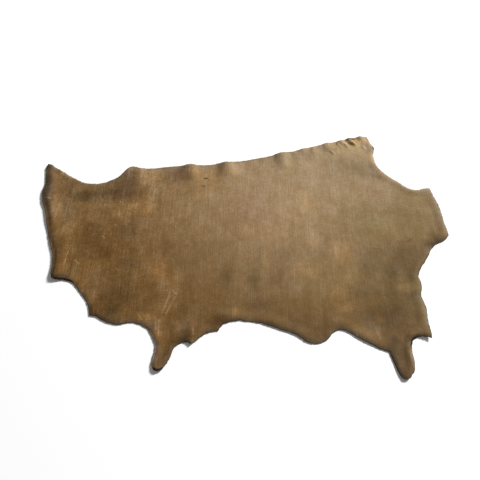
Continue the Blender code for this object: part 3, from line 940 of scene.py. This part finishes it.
def thicken(bm, form):
    """Turns the skin into a sheet: the grain side above it, and a cut edge with a worn corner."""
    gap = bm.verts.layers.float[FROM_EDGE]
    skin_faces = list(bm.faces)
    rim_edges = [edge for edge in bm.edges if edge.is_boundary]
    above = {}
    shoulder = {}
    for vert in list(bm.verts):
        top = bm.verts.new(vert.co + vert.normal * form.thickness)
        top[gap] = vert[gap]
        above[vert] = top
    for edge in rim_edges:
        for vert in edge.verts:
            if vert not in shoulder:
                shoulder[vert] = bm.verts.new(vert.co + vert.normal * ROUND_START * form.thickness)
                above[vert].co -= rim_outward(vert) * form.edge_round
    for edge in rim_edges:
        loop = edge.link_loops[0]
        start, end = loop.vert, loop.link_loop_next.vert
        lower = (start, end, shoulder[end], shoulder[start])
        upper = (shoulder[start], shoulder[end], above[end], above[start])
        for corners in (lower, upper):
            bm.faces.new(corners).material_index = CUT_EDGE
    for face in skin_faces:
        bm.faces.new([above[vert] for vert in face.verts]).material_index = GRAIN_SIDE
        face.material_index = FLESH_SIDE
        face.normal_flip()
    for edge in bm.edges:
        first, second = edge.link_faces
        same_side = first.material_index == second.material_index
        edge.smooth = same_side and edge.calc_face_angle() < SHARP_TURN


def put(tree, kind, values=None, **settings):
    """Adds a node with its settings, and sets or links its inputs by name or number."""
    node = tree.nodes.new(kind)
    for name, value in settings.items():
        setattr(node, name, value)
    for name, value in (values or {}).items():
        if isinstance(value, bpy.types.NodeSocket):
            tree.links.new(value, node.inputs[name])
        else:
            node.inputs[name].default_value = value
    return node


def calc(tree, operation, *terms):
    """The result of a Math node."""
    return put(tree, "ShaderNodeMath", dict(enumerate(terms)), operation=operation).outputs[0]


def vector(tree, operation, *terms, output="Vector"):
    """What a Vector Math node gives."""
    node = put(tree, "ShaderNodeVectorMath", dict(enumerate(terms)), operation=operation)
    return node.outputs[output]


def measure(tree, operation, *terms):
    """The number that a Vector Math node gives."""
    return vector(tree, operation, *terms, output="Value")


def joined(tree, x, y, z):
    """Three numbers as a vector."""
    return put(tree, "ShaderNodeCombineXYZ", {0: x, 1: y, 2: z}).outputs[0]


def scaled(tree, place, share):
    """A place or colour times a number."""
    values = {0: place, "Scale": share}
    return put(tree, "ShaderNodeVectorMath", values, operation="SCALE").outputs["Vector"]


def turned(tree, place, angle):
    """A place turned about the upright through the origin."""
    values = {"Vector": place, "Angle": angle}
    return put(tree, "ShaderNodeVectorRotate", values, rotation_type="Z_AXIS").outputs[0]


def ramp(tree, value, start, end, low=0.0, high=1.0):
    """A value eased from low to high as another rises from start to end."""
    values = {"Value": value, "From Min": start, "From Max": end, "To Min": low, "To Max": high}
    node = put(tree, "ShaderNodeMapRange", values, interpolation_type="SMOOTHSTEP")
    return node.outputs["Result"]


def blend(tree, mode, share, first, second):
    """Two colours mixed by a share."""
    values = {0: share, 6: first, 7: second}
    return put(tree, "ShaderNodeMix", values, data_type="RGBA", blend_type=mode).outputs[2]


def weighed(tree, total, *terms):
    """A total with each mask added by its share."""
    for mask, share in terms:
        total = calc(tree, "MULTIPLY_ADD", mask, share, total)
    return total


def even_noise(tree, place, detail, roughness):
    """Noise of one unit's size, from about -1 to 1."""
    values = {"Vector": place, "Scale": 1.0, "Detail": detail, "Roughness": roughness}
    fac = put(tree, "ShaderNodeTexNoise", values).outputs["Fac"]
    return calc(tree, "MULTIPLY_ADD", fac, 4.0, -2.0)


def new_group(name, inputs, outputs):
    """A node group from its inputs' defaults and its outputs' names, with both as sockets."""
    tree = bpy.data.node_groups.new(name, "ShaderNodeTree")
    for socket_name, default in inputs.items():
        kind = "NodeSocketVector" if isinstance(default, tuple) else "NodeSocketFloat"
        socket = tree.interface.new_socket(socket_name, in_out="INPUT", socket_type=kind)
        socket.default_value = default
    for socket_name in outputs:
        tree.interface.new_socket(socket_name, in_out="OUTPUT", socket_type="NodeSocketFloat")
    return tree, put(tree, "NodeGroupInput").outputs, put(tree, "NodeGroupOutput").inputs


def streak_group():
    """Streaks along Y of a given width and length."""
    inputs = {"Place": ORIGIN, "Width": 0.01, "Length": 0.1}
    tree, given, made = new_group("streaks", inputs, ["Streak"])
    size = joined(tree, given["Width"], given["Length"], 1.0)
    place = vector(tree, "DIVIDE", given["Place"], size)
    tree.links.new(even_noise(tree, place, detail=3.0, roughness=0.6), made["Streak"])
    return tree


def mottle_group():
    """Cloudy unevenness of a given size."""
    tree, given, made = new_group("mottling", {"Place": ORIGIN, "Size": 0.05}, ["Mottle"])
    size = joined(tree, given["Size"], given["Size"], given["Size"])
    place = vector(tree, "DIVIDE", given["Place"], size)
    tree.links.new(even_noise(tree, place, detail=5.0, roughness=0.62), made["Mottle"])
    return tree


def nap_group():
    """A short nap: the height of its tufts in millimetres, and how light they look."""
    inputs = {"Place": ORIGIN, "Tuft": 0.001, "Depth": 0.1}
    tree, given, made = new_group("nap", inputs, ["Height", "Shade"])
    size = joined(tree, given["Tuft"], given["Tuft"], given["Tuft"])
    place = vector(tree, "DIVIDE", given["Place"], size)
    tufts = even_noise(tree, place, detail=3.0, roughness=0.7)
    clumps = even_noise(tree, vector(tree, "MULTIPLY", place, CLUMP), detail=2.0, roughness=0.55)
    both = calc(tree, "MULTIPLY_ADD", clumps, CLUMP_SHARE, tufts)
    tree.links.new(calc(tree, "MULTIPLY", both, given["Depth"]), made["Height"])
    tree.links.new(both, made["Shade"])
    return tree


def patch_group():
    """An oval mask, full within its core and eased to nothing at its rim."""
    inputs = {"Place": ORIGIN, "Centre": ORIGIN, "Half Size": (0.1, 0.1, 1.0)}
    inputs |= {"Turn": 0.0, "Core": 0.0}
    tree, given, made = new_group("patch", inputs, ["Mask"])
    offset = vector(tree, "SUBTRACT", given["Place"], given["Centre"])
    across = turned(tree, offset, given["Turn"])
    share = measure(tree, "LENGTH", vector(tree, "DIVIDE", across, given["Half Size"]))
    tree.links.new(ramp(tree, share, given["Core"], 1.0, 1.0, 0.0), made["Mask"])
    return tree


def scuff_group():
    """A thin line from one place to another."""
    inputs = {"Place": ORIGIN, "Start": ORIGIN, "Run": (0.1, 0.0, 0.0), "Half Width": 0.003}
    tree, given, made = new_group("scuff", inputs, ["Mask"])
    offset = vector(tree, "SUBTRACT", given["Place"], given["Start"])
    reach = measure(tree, "DOT_PRODUCT", offset, given["Run"])
    whole = measure(tree, "DOT_PRODUCT", given["Run"], given["Run"])
    share = put(tree, "ShaderNodeClamp", {"Value": calc(tree, "DIVIDE", reach, whole)}).outputs[0]
    away = measure(tree, "DISTANCE", offset, scaled(tree, given["Run"], share))
    tree.links.new(ramp(tree, away, 0.0, given["Half Width"], 1.0, 0.0), made["Mask"])
    return tree


def use(tree, group, **values):
    """Places a node group; a name's underscores stand for the spaces in its sockets."""
    inputs = {name.replace("_", " "): value for name, value in values.items()}
    return put(tree, "ShaderNodeGroup", inputs, node_tree=group).outputs


def new_material(name, sheen):
    """A material whose Principled shader has the low gloss and the sheen of napped leather."""
    material = bpy.data.materials.new(name)
    material.use_nodes = True
    tree = material.node_tree
    shader = tree.nodes["Principled BSDF"]
    shader.inputs["Specular IOR Level"].default_value = 0.12
    shader.inputs["Sheen Weight"].default_value = sheen
    shader.inputs["Sheen Roughness"].default_value = 0.5
    shader.inputs["Sheen Tint"].default_value = SHEEN_TINT
    return material, tree, shader


def leather_place(tree):
    """The place on the hide, flattened onto the table, and the place in space."""
    spot = put(tree, "ShaderNodeTexCoord").outputs["Object"]
    return vector(tree, "MULTIPLY", spot, (1.0, 1.0, 0.0)), spot


def strayed(tree, place, size, reach):
    """A place moved about by noise, so that what is drawn there gets an uneven rim."""
    noise_place = vector(tree, "MULTIPLY", place, (1.0 / size,) * 3)
    values = {"Vector": noise_place, "Scale": 1.0, "Detail": 3.0}
    colour = put(tree, "ShaderNodeTexNoise", values).outputs["Color"]
    back = vector(tree, "ADD", place, (-reach / 2.0, -reach / 2.0, 0.0))
    return vector(tree, "MULTIPLY_ADD", colour, (reach, reach, 0.0), back)


def oval(tree, groups, place, spot, core):
    """The mask of a patch or a rim, labelled with its name."""
    mask = use(
        tree, groups["patch"], Place=place, Centre=(spot.x, spot.y, 0.0),
        Half_Size=(spot.half_length, spot.half_width, 1.0),
        Turn=math.radians(-spot.turn), Core=core,
    )["Mask"]
    mask.node.label = spot.name
    return mask


def shade(tree, colour, tone, texture):
    """A colour moved by a tone, and by the grain's texture, which also pales what it lightens."""
    shares = []
    for follow in GRAIN_FOLLOWS:
        stops = calc(tree, "MULTIPLY_ADD", texture, follow, tone)
        shares.append(calc(tree, "POWER", 2.0, stops))
    return vector(tree, "MULTIPLY", colour, joined(tree, *shares))


def plain_shade(tree, shader, colour, tone):
    """Feeds a colour moved by a tone in stops to the shader."""
    bright = calc(tree, "POWER", 2.0, tone)
    tree.links.new(scaled(tree, colour[:3], bright), shader.inputs["Base Color"])


def roughen(tree, shader, rough, *terms):
    """Feeds the shader a roughness moved a little by masks."""
    tree.links.new(weighed(tree, rough, *terms), shader.inputs["Roughness"])


def relief(tree, shader, height):
    """Feeds a height in millimetres to the shader's normal."""
    bump = put(tree, "ShaderNodeBump", {"Strength": 1.0, "Distance": MILLIMETRE, "Height": height})
    tree.links.new(bump.outputs[0], shader.inputs["Normal"])


def small_scratches(tree, groups, place, x, cloud, fleck):
    """The neck's many small scratches and pale flecks, fewer towards the back."""
    strokes = ramp(tree, fleck, *PALE_FLECKS)
    for turn in STROKE_TURNS:
        across = turned(tree, place, math.radians(turn))
        line = use(tree, groups["streaks"], Place=across, **STROKE)["Streak"]
        strokes = calc(tree, "ADD", strokes, ramp(tree, line, *STROKE_CREST))
    scratched = ramp(tree, calc(tree, "MULTIPLY_ADD", cloud, CLOUD_SCRATCHED, x), *SCRATCHED)
    return calc(tree, "MULTIPLY", strokes, scratched)


def scuff_masks(tree, groups, place):
    """Where the scuffs are pale and where the marks are dark, each as one mask."""
    pale = dark = 0.0
    for scuff in SCUFFS:
        line = use(
            tree, groups["scuff"], Place=place, Start=(scuff.start_x, scuff.start_y, 0.0),
            Run=(scuff.end_x - scuff.start_x, scuff.end_y - scuff.start_y, 0.0),
            Half_Width=scuff.half_width,
        )["Mask"]
        share = calc(tree, "MULTIPLY", line, abs(scuff.strength))
        if scuff.strength > 0.0:
            pale = calc(tree, "MAXIMUM", share, pale)
        else:
            dark = calc(tree, "MAXIMUM", share, dark)
    return pale, dark


def grain_material(finish, groups):
    """The buffed grain side: mottled and streaked tan with a fine nap, stained and scuffed, with
    painted shade, shadows and highlights on its folds and edges.
    """
    material, tree, shader = new_material("nubuck_grain", finish.sheen)
    place, spot = leather_place(tree)
    x, y, _ = put(tree, "ShaderNodeSeparateXYZ", {0: place}).outputs
    from_edge = put(tree, "ShaderNodeAttribute", attribute_name=FROM_EDGE).outputs["Fac"]
    stray_place = strayed(tree, place, *PATCH_STRAY)

    streak = use(tree, groups["streaks"], Place=place, **STREAK)["Streak"]
    band = use(tree, groups["streaks"], Place=place, **BAND)["Streak"]
    mottles = []
    for size, share in MOTTLES.values():
        mottle = use(tree, groups["mottling"], Place=place, Size=size)["Mottle"]
        mottles.append((mottle, finish.mottling * share))
    cloud, speck, fleck = [mottle for mottle, _ in mottles[1:]]
    nap = use(tree, groups["nap"], Place=spot, **GRAIN_NAP)

    # Broad tone, partly the hide's own and partly painted light falling off away from the key
    # light
    tone = calc(tree, "MULTIPLY_ADD", y, RISE_AND_LIGHT_TO_BACK, MIDDLE_TONE)
    tone = calc(tree, "ADD", tone, ramp(tree, x, *FORE_TONE_AND_SHADE))
    coarse = ramp(tree, x, *FORE_GRAIN)
    patchy = ramp(tree, calc(tree, "ADD", cloud, band), *STREAKED)
    texture = calc(tree, "MULTIPLY", streak, calc(tree, "MULTIPLY", patchy, finish.streaks))
    texture = weighed(tree, texture, (band, finish.streaks * BAND_SHARE), *mottles)
    texture = calc(tree, "MULTIPLY", texture, coarse)
    texture = calc(tree, "MULTIPLY_ADD", nap["Shade"], NAP_TONE, texture)
    strokes = small_scratches(tree, groups, place, x, cloud, fleck)
    texture = calc(tree, "MULTIPLY_ADD", strokes, finish.strokes, texture)

    # Greyer towards the butt and the backbone, partly the nap's own grey and partly painted sheen
    grey = ramp(tree, x, *GREYNESS_AND_SHEEN)
    grey = calc(tree, "MULTIPLY_ADD", y, GREY_AND_SHEEN_ACROSS, grey)
    grey = calc(tree, "ADD", grey, ramp(tree, from_edge, *EDGE_GREY))
    grey = weighed(tree, grey, (cloud, CLOUD_GREY), (streak, STREAK_GREY))
    grey = put(tree, "ShaderNodeClamp", {"Value": grey}).outputs[0]
    colour = blend(tree, "MIX", grey, finish.warm_tan, finish.grey_tan_and_sheen)
    for cast, full in BAND_CASTS:
        share = ramp(tree, band, BAND_START * full, full)
        colour = blend(tree, "MULTIPLY", share, colour, CASTS[cast])

    # The patches and rims, many of them painted shade, shadows and highlights, as marked in their
    # tables
    for patch in PATCHES:
        narrow = min(patch.half_length, patch.half_width) < STRAY_FROM
        mask = oval(tree, groups, place if narrow else stray_place, patch, 0.0)
        tone = calc(tree, "MULTIPLY_ADD", mask, patch.tone, tone)
        if patch.cast != "plain":
            colour = blend(tree, "MULTIPLY", mask, colour, CASTS[patch.cast])
    for rim in RIMS:
        strip = ramp(tree, from_edge, RIM_FULL * rim.reach, rim.reach, 1.0, 0.0)
        mask = calc(tree, "MULTIPLY", strip, oval(tree, groups, place, rim, RIM_CORE))
        tone = calc(tree, "MULTIPLY_ADD", mask, rim.tone, tone)
        if rim.cast != "plain":
            colour = blend(tree, "MULTIPLY", mask, colour, CASTS[rim.cast])
    # Darker towards the cut edge
    tone = calc(tree, "ADD", tone, ramp(tree, from_edge, *EDGE_DARKER))
    colour = shade(tree, colour, tone, texture)

    pale, dark = scuff_masks(tree, groups, strayed(tree, place, *SCUFF_STRAY))
    unbroken = ramp(tree, speck, *UNBROKEN)
    for mask, shown in ((pale, finish.scuff_tan), (dark, finish.mark_brown)):
        colour = blend(tree, "MIX", calc(tree, "MULTIPLY", mask, unbroken), colour, shown)
    groove = calc(tree, "MULTIPLY", calc(tree, "ADD", pale, dark), -SCUFF_DEPTH)

    tree.links.new(colour, shader.inputs["Base Color"])
    roughen(tree, shader, 0.90, (cloud, 0.04), (nap["Shade"], 0.02))
    worn = ramp(tree, from_edge, *EDGE_WEAR)
    height = weighed(tree, nap["Height"], (streak, WRINKLE_DEPTH), (speck, DIMPLE_DEPTH))
    for more in (worn, groove):
        height = calc(tree, "ADD", height, more)
    relief(tree, shader, height)
    return material


def flesh_material(finish, groups):
    """The suede flesh side: paler, with a longer, drier nap and cut-off fibres."""
    material, tree, shader = new_material("nubuck_flesh", FLESH_SHEEN)
    place, spot = leather_place(tree)
    cloud = use(tree, groups["mottling"], Place=place, Size=FLESH_CLOUD)["Mottle"]
    speck = use(tree, groups["mottling"], Place=place, Size=FLESH_SPECK)["Mottle"]
    fibre = use(tree, groups["streaks"], Place=place, **FLESH_FIBRE)["Streak"]
    nap = use(tree, groups["nap"], Place=spot, **FLESH_NAP)
    tone = weighed(tree, 0.0, *zip((cloud, speck, fibre, nap["Shade"]), FLESH_TONES))
    plain_shade(tree, shader, finish.flesh_tan, tone)
    roughen(tree, shader, 0.95, (cloud, 0.03))
    relief(tree, shader, weighed(tree, nap["Height"], (fibre, FIBRE_DEPTH)))
    return material


def edge_material(finish, groups):
    """The raw cut edge: packed fibres in layers, soiled in places."""
    material, tree, shader = new_material("nubuck_cut", CUT_SHEEN)
    place, spot = leather_place(tree)
    soil = use(tree, groups["mottling"], Place=place, Size=CUT_SOIL)["Mottle"]
    layer_place = vector(tree, "MULTIPLY", spot, LAYERED)
    layers = use(tree, groups["nap"], Place=layer_place, **CUT_FIBRE)
    tone = weighed(tree, 0.0, *zip((soil, layers["Shade"]), CUT_TONES))
    plain_shade(tree, shader, finish.edge_tan, tone)
    roughen(tree, shader, 0.94, (soil, 0.03))
    relief(tree, shader, layers["Height"])
    return material


class MESH_OT_nubuck_side(bpy.types.Operator):
    """Lay the leather sheet on the folds of its solid and finish its sides and its edge"""

    bl_idname = "mesh.nubuck_side"
    bl_label = "Nubuck side"

    def execute(self, context):
        form = context.scene.nubuck_form
        finish = context.scene.nubuck_finish
        bm = laid_skin(form)
        area = sum(face.calc_area() for face in bm.faces)
        thicken(bm, form)
        mesh = bpy.data.meshes.new(SHEET)
        bm.to_mesh(mesh)
        bm.free()
        groups = {
            "streaks": streak_group(),
            "mottling": mottle_group(),
            "nap": nap_group(),
            "patch": patch_group(),
            "scuff": scuff_group(),
        }
        for make in (grain_material, edge_material, flesh_material):
            mesh.materials.append(make(finish, groups))
        mesh.shade_smooth()
        sheet = bpy.data.objects.new(SHEET, mesh)
        context.scene.collection.objects.link(sheet)
        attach(sheet, "root")
        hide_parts(NODE)
        return {"FINISHED"}


def make_floor(context, studio):
    """The pale floor, a hair below the leather."""
    mesh = bpy.data.meshes.new(FLOOR)
    corners = [(-1, -1), (1, -1), (1, 1), (-1, 1)]
    places = [(x * FLOOR_HALF, y * FLOOR_HALF, -FLOOR_DROP) for x, y in corners]
    mesh.from_pydata(places, [], [range(4)])
    material = bpy.data.materials.new(FLOOR)
    material.use_nodes = True
    shader = material.node_tree.nodes["Principled BSDF"]
    shader.inputs["Base Color"].default_value = studio.floor_white
    shader.inputs["Roughness"].default_value = 0.9
    shader.inputs["Specular IOR Level"].default_value = 0.2
    mesh.materials.append(material)
    floor = bpy.data.objects.new(FLOOR, mesh)
    context.scene.collection.objects.link(floor)


def make_light(context, studio):
    """Even light from all round, and one large soft light beside the butt."""
    world = bpy.data.worlds.new("studio_light")
    world.use_nodes = True
    sky = world.node_tree.nodes["Background"]
    sky.inputs["Color"].default_value = (1.0, 1.0, 1.0, 1.0)
    sky.inputs["Strength"].default_value = studio.sky
    context.scene.world = world
    data = bpy.data.lights.new("key_light", "AREA")
    data.energy = studio.key
    data.size = KEY_SIZE
    key = bpy.data.objects.new("key_light", data)
    level = math.cos(studio.key_height)
    across = (level * math.cos(studio.key_turn), level * math.sin(studio.key_turn))
    towards = Vector((*across, math.sin(studio.key_height)))
    key.location = KEY_DISTANCE * towards
    key.rotation_euler = towards.to_track_quat("Z", "Y").to_euler()
    context.scene.collection.objects.link(key)
    context.scene.view_settings.view_transform = "Standard"


def make_camera(context, studio):
    """The camera, at the photograph's angle."""
    data = bpy.data.cameras.new("camera")
    data.lens = studio.lens
    data.sensor_width = SENSOR
    camera = bpy.data.objects.new("camera", data)
    camera.location = studio.camera_place
    camera.rotation_euler = Euler((math.pi / 2.0 - studio.camera_dip, 0.0, 0.0))
    context.scene.collection.objects.link(camera)
    context.scene.camera = camera


class SCENE_OT_nubuck_studio(bpy.types.Operator):
    """Make the pale floor, the soft light and the camera"""

    bl_idname = "scene.nubuck_studio"
    bl_label = "Studio"

    def execute(self, context):
        studio = context.scene.nubuck_studio
        make_floor(context, studio)
        make_light(context, studio)
        make_camera(context, studio)
        return {"FINISHED"}


class VIEW3D_PT_nubuck(bpy.types.Panel):
    """The nubuck side's sizes, finish and studio, with the buttons that make them"""

    bl_idname = "VIEW3D_PT_nubuck"
    bl_label = "Nubuck side"
    bl_space_type = "VIEW_3D"
    bl_region_type = "UI"
    bl_category = "Nubuck"

    def draw(self, context):
        scene = context.scene
        for settings in (scene.nubuck_form, scene.nubuck_finish, scene.nubuck_studio):
            box = self.layout.box()
            for name in settings.__annotations__:
                box.prop(settings, name)
        for operator in (SCENE_OT_nubuck_studio, MESH_OT_nubuck_side):
            self.layout.operator(operator.bl_idname)


CLASSES = (
    HideForm,
    HideFinish,
    Studio,
    MESH_OT_nubuck_side,
    SCENE_OT_nubuck_studio,
    VIEW3D_PT_nubuck,
)


def register():
    for item in CLASSES:
        bpy.utils.register_class(item)
    bpy.types.Scene.nubuck_form = PointerProperty(type=HideForm)
    bpy.types.Scene.nubuck_finish = PointerProperty(type=HideFinish)
    bpy.types.Scene.nubuck_studio = PointerProperty(type=Studio)


def unregister():
    del bpy.types.Scene.nubuck_studio
    del bpy.types.Scene.nubuck_finish
    del bpy.types.Scene.nubuck_form
    for item in reversed(CLASSES):
        bpy.utils.unregister_class(item)


def main():
    register()
    bpy.ops.scene.nubuck_studio()
    bpy.ops.mesh.nubuck_side()


if __name__ == "__main__":
    main()
